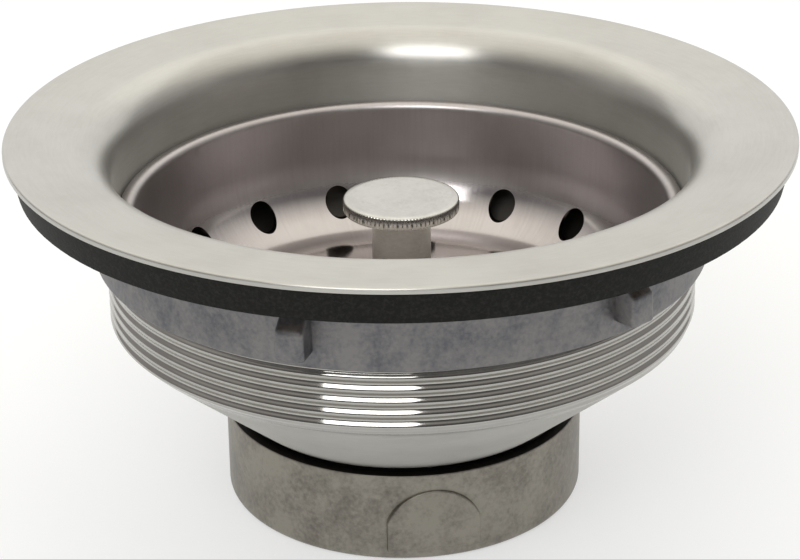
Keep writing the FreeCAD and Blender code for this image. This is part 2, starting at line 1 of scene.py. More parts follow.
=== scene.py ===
import logging
import math
from bisect import bisect_right
from collections.abc import Callable, Sequence
from dataclasses import dataclass
from enum import Enum

import bmesh
import bpy
from mathutils import Matrix, Vector


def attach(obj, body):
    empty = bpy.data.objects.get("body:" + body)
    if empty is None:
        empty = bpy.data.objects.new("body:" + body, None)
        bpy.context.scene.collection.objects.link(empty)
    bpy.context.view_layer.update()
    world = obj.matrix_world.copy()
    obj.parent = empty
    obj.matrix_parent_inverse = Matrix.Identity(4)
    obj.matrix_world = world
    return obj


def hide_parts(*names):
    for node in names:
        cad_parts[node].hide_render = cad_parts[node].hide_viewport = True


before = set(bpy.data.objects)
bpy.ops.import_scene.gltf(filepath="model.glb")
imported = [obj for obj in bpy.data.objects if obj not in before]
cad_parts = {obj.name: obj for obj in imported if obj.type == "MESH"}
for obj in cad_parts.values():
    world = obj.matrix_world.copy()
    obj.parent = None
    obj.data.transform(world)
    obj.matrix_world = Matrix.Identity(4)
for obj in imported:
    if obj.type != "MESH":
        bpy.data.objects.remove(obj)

LOG = logging.getLogger("sink_strainer")
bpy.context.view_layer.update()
MM = 0.001
FULL_TURN = 2 * math.pi
Point = tuple[float, float]
Place = tuple[float, float, float]
Zone = tuple[float, float]

# Mesh attributes that a zoned finish reads: its roughness, and its painted shade.
ZONE_ROUGHNESS = "zone_roughness"
ZONE_PAINTED_SHADE = "zone_painted_shade"
# A Mix node's sockets share their names: the factor, two numbers and two colours.
FACTOR, NUMBER_A, NUMBER_B, COLOUR_A, COLOUR_B = 0, 2, 3, 6, 7
COLOUR_RESULT = 2
# Angles in degrees past which an edge stays sharp, on most pieces and on the thread.
SHARP_EDGE = 35.0
SHARP_THREAD = 50.0
# Distances in metres at which loose corners are one point, and a sliver is none.
WELD = 1e-6
SLIVER = 1e-7


class Grain(Enum):
    """How the marks of making run over a metal surface."""

    CONCENTRIC = "rings about the drain axis"
    DRAWN = "lines up the wall"
    CAST = "mottling of a die casting"


def linear(colour: str) -> tuple[float, float, float, float]:
    """Turn an sRGB hex colour into linear values.

    Args:
        colour: six hex digits with a leading hash.

    Returns:
        Linear red, green and blue, and an alpha of one.
    """
    parts = [int(colour[i : i + 2], 16) / 255 for i in (1, 3, 5)]
    low = [p / 12.92 if p <= 0.04045 else ((p + 0.055) / 1.055) ** 2.4 for p in parts]
    return low[0], low[1], low[2], 1.0


def add_node(
    tree: bpy.types.NodeTree,
    kind: str,
    values: dict | None = None,
    links: dict | None = None,
    **settings: object,
) -> bpy.types.Node:
    """Add a node to a tree, set it up and link its inputs.

    Args:
        tree: shader or geometry tree that takes the node.
        kind: Blender's name for the node type.
        values: input name or index to its fixed value.
        links: input name or index to the output socket that feeds it.
        settings: properties of the node itself.

    Returns:
        The new node.
    """
    node = tree.nodes.new(kind)
    for name, value in settings.items():
        setattr(node, name, value)
    for key, value in (values or {}).items():
        node.inputs[key].default_value = value
    for key, socket in (links or {}).items():
        tree.links.new(socket, node.inputs[key])
    return node


@dataclass(frozen=True)
class Finish:
    """A surface: what it is made of and how it was finished."""

    name: str
    colour: str
    metallic: float
    roughness: float

    def material(self) -> bpy.types.Material:
        """Give the finish's material, made once and then shared.

        Returns:
            The material with its nodes built.
        """
        made = bpy.data.materials.get(self.name)
        if made is not None:
            return made
        made = bpy.data.materials.new(self.name)
        made.use_nodes = True
        tree = made.node_tree
        tree.nodes.clear()
        values = {
            "Base Color": linear(self.colour),
            "Metallic": self.metallic,
            "Roughness": self.roughness,
        }
        shader = add_node(tree, "ShaderNodeBsdfPrincipled", values)
        self.surface(tree, shader)
        add_node(tree, "ShaderNodeOutputMaterial", links={"Surface": self.shown(tree, shader)})
        return made

    def surface(self, tree: bpy.types.NodeTree, shader: bpy.types.Node) -> None:
        """Add the finish's own detail to the shader."""

    def shown(self, tree: bpy.types.NodeTree, shader: bpy.types.Node) -> bpy.types.NodeSocket:
        """Socket that the material shows, which is the shader itself on the object."""
        return shader.outputs[0]


@dataclass(frozen=True)
class MetalFinish(Finish):
    """A bare metal with the marks of its making, and painted shade where it is zoned."""

    shade: str = "#808080"
    shade_below: float = 0.36
    colour_above: float = 0.58
    grain: Grain = Grain.CONCENTRIC
    grain_mm: float = 0.3
    grain_detail: Point = (3.0, 0.6)
    grain_share: float = 0.35
    grain_radius_mm: float = 40.0
    stretch: float = 0.05
    blotch_mm: float = 9.0
    blotch_detail: Point = (5.0, 0.65)
    roughness_spread: float = 0.06
    spread_from: float = 0.3
    spread_to: float = 0.7
    bump_mm: float = 0.004
    across_grain: float = 0.0
    zoned: bool = False
    # Dark colour that a zoned piece is painted towards as painted shade.
    painted_shade_colour: str = "#2A2826"

    def surface(self, tree: bpy.types.NodeTree, shader: bpy.types.Node) -> None:
        """Lay grain over broad blotches, in colour, roughness and bump, and mix in painted shade
        where zoned.

        Args:
            tree: material's tree.
            shader: its surface shader.
        """
        # A quarter turn sets the stretch of a highlight across the rings of the grain.
        shader.inputs["Anisotropic"].default_value = self.across_grain
        shader.inputs["Anisotropic Rotation"].default_value = 0.25
        place = add_node(tree, "ShaderNodeTexCoord").outputs["Object"]
        patterns = []
        for size, (octaves, fine), where in (
            (self.grain_mm, self.grain_detail, self.grain_place(tree, place)),
            (self.blotch_mm, self.blotch_detail, place),
        ):
            values = {"Scale": 1 / (size * MM), "Detail": octaves, "Roughness": fine}
            noise = add_node(tree, "ShaderNodeTexNoise", values, {"Vector": where})
            patterns.append(noise.outputs[0])
        grain, blotch = patterns
        both = add_node(
            tree, "ShaderNodeMix", {FACTOR: self.grain_share}, {NUMBER_A: blotch, NUMBER_B: grain}
        ).outputs[0]
        ramp = add_node(tree, "ShaderNodeValToRGB", links={0: both})
        stops = ((self.shade_below, self.shade), (self.colour_above, self.colour))
        for stop, (position, colour) in zip(ramp.color_ramp.elements, stops):
            stop.position = position
            stop.color = linear(colour)
        colour = ramp.outputs[0]
        middle = 0.0 if self.zoned else self.roughness
        values = {
            "From Min": self.spread_from,
            "From Max": self.spread_to,
            "To Min": middle - self.roughness_spread,
            "To Max": middle + self.roughness_spread,
        }
        rough = add_node(tree, "ShaderNodeMapRange", values, {"Value": both}).outputs[0]
        # A zoned piece takes its roughness from its points, and painted shade: its colour mixed
        # towards a dark colour.
        if self.zoned:
            zones = [
                add_node(tree, "ShaderNodeAttribute", attribute_name=name).outputs["Fac"]
                for name in (ZONE_PAINTED_SHADE, ZONE_ROUGHNESS)
            ]
            colour = add_node(
                tree,
                "ShaderNodeMix",
                {COLOUR_B: linear(self.painted_shade_colour)},
                {FACTOR: zones[0], COLOUR_A: colour},
                data_type="RGBA",
            ).outputs[COLOUR_RESULT]
            rough = add_node(
                tree, "ShaderNodeMath", links={0: rough, 1: zones[1]}, operation="ADD"
            ).outputs[0]
        values = {"Strength": 1.0, "Distance": self.bump_mm * MM}
        bump = add_node(tree, "ShaderNodeBump", values, {"Height": grain})
        tree.links.new(colour, shader.inputs["Base Color"])
        tree.links.new(rough, shader.inputs["Roughness"])
        tree.links.new(bump.outputs[0], shader.inputs["Normal"])

    def grain_place(
        self, tree: bpy.types.NodeTree, place: bpy.types.NodeSocket
    ) -> bpy.types.NodeSocket:
        """Bend the pattern's coordinates so that its grain runs the right way.

        Args:
            tree: material's tree.
            place: object coordinates.

        Returns:
            Coordinates for the grain's noise.
        """
        if self.grain is Grain.CAST:
            return place
        x, y, height = add_node(tree, "ShaderNodeSeparateXYZ", links={0: place}).outputs
        flat = add_node(tree, "ShaderNodeCombineXYZ", links={0: x, 1: y})
        radius = add_node(
            tree, "ShaderNodeVectorMath", links={0: flat.outputs[0]}, operation="LENGTH"
        ).outputs["Value"]
        turn = add_node(tree, "ShaderNodeMath", links={0: y, 1: x}, operation="ARCTAN2")
        along = add_node(
            tree,
            "ShaderNodeMath",
            {1: self.grain_radius_mm * MM},
            {0: turn.outputs[0]},
            operation="MULTIPLY",
        ).outputs[0]
        rings = self.grain is Grain.CONCENTRIC
        slow = add_node(
            tree,
            "ShaderNodeMath",
            {1: self.stretch},
            {0: along if rings else height},
            operation="MULTIPLY",
        ).outputs[0]
        bent = {0: radius, 1: slow, 2: height} if rings else {0: along, 1: slow}
        return add_node(tree, "ShaderNodeCombineXYZ", links=bent).outputs[0]


@dataclass(frozen=True)
class MouldedFinish(Finish):
    """A moulded or pressed non-metal with a fine speckle."""

    speck: str = "#404040"
    speck_mm: float = 0.5
    speck_from: float = 0.45
    speck_to: float = 0.8
    bump_mm: float = 0.02
    gloss: float = 0.5

    def surface(self, tree: bpy.types.NodeTree, shader: bpy.types.Node) -> None:
        """Speckle the colour and roughen the surface.

        Args:
            tree: material's tree.
            shader: its surface shader.
        """
        shader.inputs["Specular IOR Level"].default_value = self.gloss
        place = add_node(tree, "ShaderNodeTexCoord").outputs["Object"]
        values = {"Scale": 1 / (self.speck_mm * MM), "Detail": 4.0, "Roughness": 0.7}
        noise = add_node(tree, "ShaderNodeTexNoise", values, {"Vector": place}).outputs[0]
        ramp = add_node(tree, "ShaderNodeValToRGB", links={0: noise})
        stops = ((self.speck_from, self.colour), (self.speck_to, self.speck))
        for stop, (position, colour) in zip(ramp.color_ramp.elements, stops):
            stop.position = position
            stop.color = linear(colour)
        values = {"Strength": 1.0, "Distance": self.bump_mm * MM}
        bump = add_node(tree, "ShaderNodeBump", values, {"Height": noise})
        tree.links.new(ramp.outputs[0], shader.inputs["Base Color"])
        tree.links.new(bump.outputs[0], shader.inputs["Normal"])


@dataclass(frozen=True)
class PaperFinish(Finish):
    """Plain studio paper that reads nearly as white as a cut-out ground."""

    glow: float = 0.5

    def shown(self, tree: bpy.types.NodeTree, shader: bpy.types.Node) -> bpy.types.NodeSocket:
        """Lift the paper towards white where it is seen, and leave its shadow on it.

        Args:
            tree: material's tree.
            shader: paper's own shader.

        Returns:
            The mixed shader's socket.
        """
        path = add_node(tree, "ShaderNodeLightPath")
        seen = path.outputs["Is Camera Ray"]
        for ray in ("Is Glossy Ray", "Is Transmission Ray"):
            either = {0: seen, 1: path.outputs[ray]}
            seen = add_node(tree, "ShaderNodeMath", links=either, operation="MAXIMUM").outputs[0]
        share = add_node(tree, "ShaderNodeMath", {1: self.glow}, {0: seen}, operation="MULTIPLY")
        white = add_node(tree, "ShaderNodeEmission", {"Strength": 1.0})
        mixed = {0: share.outputs[0], 1: shader.outputs[0], 2: white.outputs[0]}
        return add_node(tree, "ShaderNodeMixShader", links=mixed).outputs[0]


# Drawn stainless sheet: the flange keeps a fine satin, the throat and thread come out smoother.
# Its grit lines are really about 0.05 mm apart, and are drawn coarser so that they show.
# Its inside below the basket is painted in shade, and its thread outside partly so.
BOWL_STEEL = MetalFinish(
    name="drawn_stainless_satin_flange", colour="#BCBBB6", metallic=1.0, roughness=0.36,
    shade="#B3B1AC", grain=Grain.CONCENTRIC, grain_mm=0.35, stretch=0.1, blotch_mm=14.0,
    roughness_spread=0.03, bump_mm=0.002, across_grain=0.7, zoned=True, painted_shade_colour="#6C6863",
)
# Deep-drawn stainless cup: drawing lines up the wall blur what it mirrors.
# The lines are really about 0.1 mm apart, and are drawn coarser so that they show.
CUP_STEEL = MetalFinish(
    name="deep_drawn_stainless_cup", colour="#BAB5B4", metallic=1.0, roughness=0.36,
    shade="#B1ABAA", grain=Grain.DRAWN, grain_mm=0.6, stretch=0.04, blotch_mm=12.0,
    roughness_spread=0.03, bump_mm=0.0002, zoned=True,
)
# Die-cast zinc, as cast: dull blue-grey with cloudy mottling.
LOCKNUT_ZINC = MetalFinish(
    name="as_cast_zinc_locknut", colour="#868483", metallic=1.0, roughness=0.5,
    shade="#5E5F64", grain=Grain.CAST, grain_mm=0.7, blotch_mm=5.0,
    roughness_spread=0.1, bump_mm=0.03,
)
# Die-cast zinc, tumbled: a warmer grey with broader clouds, and painted shadow, near black, in its
# mouth and bore.
COUPLING_ZINC = MetalFinish(
    name="tumbled_zinc_coupling_nut", colour="#99958B", metallic=1.0, roughness=0.46,
    shade="#716D66", grain=Grain.CAST, grain_mm=0.7, blotch_mm=7.0,
    roughness_spread=0.1, bump_mm=0.03, zoned=True,
)
# Turned and plated brass: a bright mirror with faint turning rings.
# The rings are really about 0.1 mm apart, and are drawn coarser so that they show.
PLATED = MetalFinish(
    name="chrome_plated_turning", colour="#BFBEB9", metallic=1.0, roughness=0.14,
    shade="#B2B0AB", grain=Grain.CONCENTRIC, grain_mm=0.3, stretch=0.05, blotch_mm=6.0,
    roughness_spread=0.03, bump_mm=0.001,
)
# Turned post: the same plating over coarser tool marks, so it mirrors nothing sharply.
TURNED_POST = MetalFinish(
    name="plated_turning_satin", colour="#BFBEB9", metallic=1.0, roughness=0.34,
    shade="#ADABA6", grain=Grain.CONCENTRIC, grain_mm=0.3, stretch=0.05, blotch_mm=6.0,
    roughness_spread=0.04, bump_mm=0.002,
)
# Stamped and machined steel under the cup and in the outlet: plain satin.
STAMPED_STEEL = MetalFinish(
    name="stamped_steel_satin", colour="#BDBBB6", metallic=1.0, roughness=0.34,
    shade="#A5A29C", grain=Grain.CAST, grain_mm=0.4, blotch_mm=6.0,
    roughness_spread=0.05, bump_mm=0.004,
)
# Machined brass hexagon nut: warm yellow satin.
MACHINED_BRASS = MetalFinish(
    name="machined_brass", colour="#C9A864", metallic=1.0, roughness=0.3,
    shade="#AE8C4A", grain=Grain.CAST, grain_mm=0.4, blotch_mm=5.0, bump_mm=0.004,
)
# Moulded black rubber: nearly black, with dust and pinholes that catch the light.
BLACK_RUBBER = MouldedFinish(
    name="moulded_black_rubber", colour="#0F0F0E", metallic=0.0, roughness=0.6,
    speck="#2A2927", speck_mm=0.5, bump_mm=0.03, gloss=0.15,
)
# Pressed fibre washer: brown board with short fibres.
PRESSED_FIBRE = MouldedFinish(
    name="pressed_fibre_board", colour="#8C7048", metallic=0.0, roughness=0.85,
    speck="#A98D62", speck_mm=0.6, bump_mm=0.05,
)
# Natural polyethylene: milky white and waxy.
POLYETHYLENE = MouldedFinish(
    name="natural_polyethylene", colour="#E2E1DA", metallic=0.0, roughness=0.4,
    speck="#EFEEE8", speck_mm=1.2, bump_mm=0.01,
)
# Matt white paper: an even ground that takes a soft shadow.
WHITE_PAPER = PaperFinish(name="white_paper_floor", colour="#FBFDFF", metallic=0.0, roughness=0.9)


def arc(centre: Point, radius: float, start: float, end: float, steps: int) -> list[Point]:
    """Points along a circular arc, both ends included.

    Args:
        centre: radius and height of the arc's centre, in millimetres.
        radius: arc radius.
        start: first angle, in degrees from the outward direction.
        end: last angle.
        steps: number of pieces.

    Returns:
        The points in order.
    """
    turns = [math.radians(start + (end - start) * i / steps) for i in range(steps + 1)]
    return [(centre[0] + radius * math.cos(t), centre[1] + radius * math.sin(t)) for t in turns]


def run(start: Point, end: Point, step: float) -> list[Point]:
    """Evenly spaced points along a straight line, without its two ends.

    Args:
        start: first end.
        end: other end.
        step: longest gap between points.

    Returns:
        The points between the ends.
    """
    count = max(1, math.ceil(math.dist(start, end) / step))
    return [
        (start[0] + (end[0] - start[0]) * i / count, start[1] + (end[1] - start[1]) * i / count)
        for i in range(1, count)
    ]


def at(radius: float, turn: float, height: float) -> Place:
    """Place in metres of a point given in millimetres about the drain axis."""
    return radius * math.cos(turn) * MM, radius * math.sin(turn) * MM, height * MM


def band(inner: Sequence[Place], outer: Sequence[Place]) -> list[list[Place]]:
    """Faces between two closed rings that have as many points.

    Args:
        inner: first ring.
        outer: ring that it is joined to.

    Returns:
        The corner places of each face.
    """
    ahead = [(k + 1) % len(inner) for k in range(len(inner))]
    return [[inner[k], inner[m], outer[m], outer[k]] for k, m in enumerate(ahead)]


def blend(value: float, start: float, end: float) -> float:
    """Share from 0 at the start to 1 at the end, held there beyond them."""
    return max(0.0, min(1.0, (value - start) / (end - start)))


def smooth(mesh: bpy.types.Mesh, sharp: float = SHARP_EDGE) -> None:
    """Shade a mesh smooth, apart from edges past an angle in degrees."""
    mesh.polygons.foreach_set("use_smooth", [True] * len(mesh.polygons))
    mesh.set_sharp_from_angle(angle=math.radians(sharp))


def shell(
    name: str, places: Sequence[Place], rows: Sequence[Sequence[int]], weld: bool
) -> bpy.types.Mesh:
    """Make a smooth mesh with its faces turned outwards.

    Args:
        name: mesh name.
        places: places of its corners.
        rows: corner numbers of each face.
        weld: whether corners at one place become one.

    Returns:
        The mesh.
    """
    mesh = bpy.data.meshes.new(name)
    mesh.from_pydata(places, [], rows)
    shape = bmesh.new()
    shape.from_mesh(mesh)
    if weld:
        bmesh.ops.remove_doubles(shape, verts=shape.verts, dist=WELD)
        bmesh.ops.dissolve_degenerate(shape, edges=shape.edges, dist=SLIVER)
    bmesh.ops.recalc_face_normals(shape, faces=shape.faces)
    shape.to_mesh(mesh)
    shape.free()
    smooth(mesh)
    return mesh


def mesh_from_faces(name: str, faces: Sequence[Sequence[Place]]) -> bpy.types.Mesh:
    """Weld loose faces into one mesh.

    Args:
        name: mesh name.
        faces: corner places of each face.

    Returns:
        The mesh.
    """
    places: list[Place] = []
    rows: list[range] = []
    for face in faces:
        rows.append(range(len(places), len(places) + len(face)))
        places.extend(face)
    return shell(name, places, rows, weld=True)


def lathe(name: str, loop: Sequence[Point], segments: int) -> bpy.types.Mesh:
    """Turn a closed outline about the drain axis.

    Args:
        name: mesh name.
        loop: radius and height of each corner, in millimetres.
        segments: number of steps in the full turn.

    Returns:
        The turned mesh.
    """
    rows = len(loop)
    places = [at(r, FULL_TURN * step / segments, z) for step in range(segments) for r, z in loop]
    faces = []
    for step in range(segments):
        base, ahead = step * rows, (step + 1) % segments * rows
        for row in range(rows):
            after = (row + 1) % rows
            faces.append((base + row, ahead + row, ahead + after, base + after))
    return shell(name, places, faces, weld=False)


def bevelled_block(
    name: str, ends: Sequence[tuple[float, Sequence[Point]]], bevel: float, sides: bool
) -> bpy.types.Mesh:
    """Make a block between two sections along -Y, with its outer edges rounded.

    Args:
        name: mesh name.
        ends: distance from the drain axis and section, of the inner and then the outer end.
        bevel: size of the rounding, in millimetres.
        sides: whether the edges that run outwards are rounded too.

    Returns:
        The block's mesh.
    """
    shape = bmesh.new()
    near, far = (
        [shape.verts.new((x * MM, -y * MM, z * MM)) for x, z in section] for y, section in ends
    )
    shape.faces.new(near)
    shape.faces.new(far)
    for i in range(len(near)):
        j = (i + 1) % len(near)
        shape.faces.new((near[i], near[j], far[j], far[i]))
    bmesh.ops.recalc_face_normals(shape, faces=shape.faces)
    reach = any if sides else all
    rim = [edge for edge in shape.edges if reach(corner in far for corner in edge.verts)]
    bmesh.ops.bevel(
        shape, geom=rim, offset=bevel * MM, segments=3, affect="EDGES", profile=0.5
    )
    mesh = bpy.data.meshes.new(name)
    shape.to_mesh(mesh)
    shape.free()
    return mesh


def mark_zones(mesh: bpy.types.Mesh, rule: Callable[[int, float, float], Zone]) -> None:
    """Write each point's roughness and painted shade, for a finish that changes over its piece.

    Args:
        mesh: piece's mesh.
        rule: gives both values for a point's index, radius and height in millimetres.
    """
    rough = mesh.attributes.new(ZONE_ROUGHNESS, "FLOAT", "POINT")
    shade = mesh.attributes.new(ZONE_PAINTED_SHADE, "FLOAT", "POINT")
    for vertex in mesh.vertices:
        x, y, z = (v / MM for v in vertex.co)
        zone = rule(vertex.index, math.hypot(x, y), z)
        rough.data[vertex.index].value, shade.data[vertex.index].value = zone


def new_object(name: str, mesh: bpy.types.Mesh) -> bpy.types.Object:
    """Put a mesh in the scene as an object at the origin."""
    made = bpy.data.objects.new(name, mesh)
    bpy.context.scene.collection.objects.link(made)
    return made


@dataclass
class NodeTool:
    """A Geometry Nodes tree that is run once on a mesh and then baked."""

    name: str

    def tree(self) -> bpy.types.NodeTree:
        """Give the tree, which is built on its first use."""
        return bpy.data.node_groups.get(self.name) or self.build()

    def build(self) -> bpy.types.NodeTree:
        """Build the tree, in each tool's own way."""
        raise NotImplementedError

    def start(self, inputs: dict[str, str]) -> tuple[bpy.types.NodeTree, bpy.types.Node]:
        """Begin a tree with a mesh, named sizes and a finish as its inputs.

        Args:
            inputs: input name to socket type.

        Returns:
            The tree and its group input node.
        """
        tree = bpy.data.node_groups.new(self.name, "GeometryNodeTree")
        sockets = {"Mesh": "NodeSocketGeometry", **inputs, "Finish": "NodeSocketMaterial"}
        for label, kind in sockets.items():
            tree.interface.new_socket(label, in_out="INPUT", socket_type=kind)
        tree.interface.new_socket("Mesh", in_out="OUTPUT", socket_type="NodeSocketGeometry")
        return tree, add_node(tree, "NodeGroupInput")

    def end(
        self, tree: bpy.types.NodeTree, mesh: bpy.types.NodeSocket, finish: bpy.types.NodeSocket
    ) -> None:
        """Make a tree's copies real, weld them, give them their finish and hand them out.

        Args:
            tree: tree to end.
            mesh: socket with its shape.
            finish: socket with its finish.
        """
        real = add_node(tree, "GeometryNodeRealizeInstances", links={0: mesh})
        welded = add_node(
            tree, "GeometryNodeMergeByDistance", {"Distance": WELD}, {"Geometry": real.outputs[0]}
        )
        dressed = {"Geometry": welded.outputs[0], "Material": finish}
        shown = add_node(tree, "GeometryNodeSetMaterial", links=dressed)
        add_node(tree, "NodeGroupOutput", links={0: shown.outputs[0]})

    def bake(
        self, name: str, mesh: bpy.types.Mesh, sizes: dict[str, float], finish: Finish
    ) -> bpy.types.Mesh:
        """Run the tree on a mesh and keep the result as a plain mesh.

        Args:
            name: name of the new mesh.
            mesh: mesh that the tree starts from.
            sizes: input name to value.
            finish: finish of the result.

        Returns:
            The baked mesh.
        """
        tree = self.tree()
        values = {**sizes, "Finish": finish.material()}
        holder = new_object(f"{name}_source", mesh)
        modifier = holder.modifiers.new(self.name, "NODES")
        modifier.node_group = tree
        for item in tree.interface.items_tree:
            if item.item_type == "SOCKET" and item.in_out == "INPUT" and item.name in values:
                modifier[item.identifier] = values[item.name]
        graph = bpy.context.evaluated_depsgraph_get()
        baked = bpy.data.meshes.new_from_object(holder.evaluated_get(graph))
        baked.name = name
        holder.modifiers.clear()
        bpy.data.objects.remove(holder)
        return baked


class RingOfCopies(NodeTool):
    """Repeats one sector evenly about the drain axis."""

    def build(self) -> bpy.types.NodeTree:
        """Build the tree.

        Returns:
            A tree with the inputs Count, Phase and Finish.
        """
        tree, inputs = self.start({"Count": "NodeSocketInt", "Phase": "NodeSocketFloat"})
        mesh, count, phase, finish = inputs.outputs[:4]
        points = add_node(tree, "GeometryNodeMeshLine", {"Offset": (0, 0, 0)}, {"Count": count})
        index = add_node(tree, "GeometryNodeInputIndex").outputs[0]
        share = add_node(tree, "ShaderNodeMath", links={0: index, 1: count}, operation="DIVIDE")
        turn = add_node(
            tree,
            "ShaderNodeMath",
            {1: FULL_TURN},
            {0: share.outputs[0], 2: phase},
            operation="MULTIPLY_ADD",
        )
        rotation = add_node(tree, "ShaderNodeCombineXYZ", links={2: turn.outputs[0]})
        placed = {"Points": points.outputs[0], "Instance": mesh, "Rotation": rotation.outputs[0]}
        copies = add_node(tree, "GeometryNodeInstanceOnPoints", links=placed)
        self.end(tree, copies.outputs[0], finish)
        return tree

    def repeat(
        self, name: str, sector: bpy.types.Mesh, count: int, phase: float, finish: Finish
    ) -> bpy.types.Mesh:
        """Copy a sector round the axis and weld the copies.

        Args:
            name: name of the new mesh.
            sector: mesh of one sector.
            count: number of copies.
            phase: angle of the first copy, in degrees.
            finish: finish of every copy.

        Returns:
            The full ring.
        """
        ring = self.bake(name, sector, {"Count": count, "Phase": math.radians(phase)}, finish)
        smooth(ring)
        return ring


class RolledThread(NodeTool):
    """Raises a rounded helical ridge on the points that carry the thread's share."""

    SHARE = "thread_share"
    SIZES = ("Pitch", "Start", "Root", "Depth")

    def build(self) -> bpy.types.NodeTree:
        """Build the tree.

        Returns:
            A tree with the inputs Pitch, Start, Root, Depth and Finish.
        """
        tree, inputs = self.start({label: "NodeSocketFloat" for label in self.SIZES})
        place = add_node(tree, "GeometryNodeInputPosition").outputs[0]
        x, y, z = add_node(tree, "ShaderNodeSeparateXYZ", links={0: place}).outputs
        share = add_node(
            tree, "GeometryNodeInputNamedAttribute", {"Name": self.SHARE}, data_type="FLOAT"
        ).outputs[0]
        known = {"x": x, "y": y, "z": z, "share": share}
        known.update({label: inputs.outputs[label] for label in self.SIZES})
        # The ridge is a cosine of the height less the helix's rise at that angle.
        rule = (
            ("angle", "ARCTAN2", "y", "x"),
            ("turn", "DIVIDE", "angle", FULL_TURN),
            ("above", "SUBTRACT", "z", "Start"),
            ("rise", "DIVIDE", "above", "Pitch"),
            ("phase", "SUBTRACT", "rise", "turn"),
            ("swing", "MULTIPLY", "phase", FULL_TURN),
            ("wave", "COSINE", "swing"),
            ("positive", "ADD", "wave", 1.0),
            ("swell", "MULTIPLY", "positive", 0.5),
            ("crest", "MULTIPLY", "swell", "Depth"),
            ("ridge", "ADD", "crest", "Root"),
            ("lift", "MULTIPLY", "ridge", "share"),
        )
        for label, operation, *terms in rule:
            numbers = {i: term for i, term in enumerate(terms) if isinstance(term, float)}
            sockets = {i: known[term] for i, term in enumerate(terms) if isinstance(term, str)}
            step = add_node(tree, "ShaderNodeMath", numbers, sockets, operation=operation)
            known[label] = step.outputs[0]
        flat = add_node(tree, "ShaderNodeCombineXYZ", links={0: x, 1: y}).outputs[0]
        outward = add_node(tree, "ShaderNodeVectorMath", links={0: flat}, operation="NORMALIZE")
        offset = add_node(
            tree,
            "ShaderNodeVectorMath",
            links={0: outward.outputs[0], "Scale": known["lift"]},
            operation="SCALE",
        )
        raised = {"Geometry": inputs.outputs["Mesh"], "Offset": offset.outputs[0]}
        moved = add_node(tree, "GeometryNodeSetPosition", links=raised)
        self.end(tree, moved.outputs[0], inputs.outputs["Finish"])
        return tree


def joined(name: str, meshes: Sequence[bpy.types.Mesh], finish: Finish) -> bpy.types.Mesh:
    """Put several meshes of one casting into one mesh.

    Args:
        name: name of the new mesh.
        meshes: meshes to join.
        finish: finish of the whole casting.

    Returns:
        The joined mesh.
    """
    shape = bmesh.new()
    for mesh in meshes:
        shape.from_mesh(mesh)
    made = bpy.data.meshes.new(name)
    shape.to_mesh(made)
    shape.free()
    made.materials.append(finish.material())
    for polygon in made.polygons:
        polygon.material_index = 0
    smooth(made)
    return made


def place_piece(name: str, mesh: bpy.types.Mesh, body: str, node: str) -> None:
    """Put a finished piece in the scene in place of its CAD node.

    Args:
        name: piece name.
        mesh: finished mesh.
        body: CAD body that it rides on.
        node: CAD node that it stands for.
    """
    piece = new_object(name, mesh)
    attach(piece, body)
    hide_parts(node)
    LOG.info("%s: %d faces, for %s", name, len(mesh.polygons), node)


def dress_node(node: str, finish: Finish) -> None:
    """Give a CAD node that is shown as it is its finish.

    Args:
        node: CAD node name.
        finish: its finish.
    """
    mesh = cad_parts[node].data
    mesh.materials.clear()
    mesh.materials.append(finish.material())
    LOG.info("%s: kept, %s", node, finish.name)


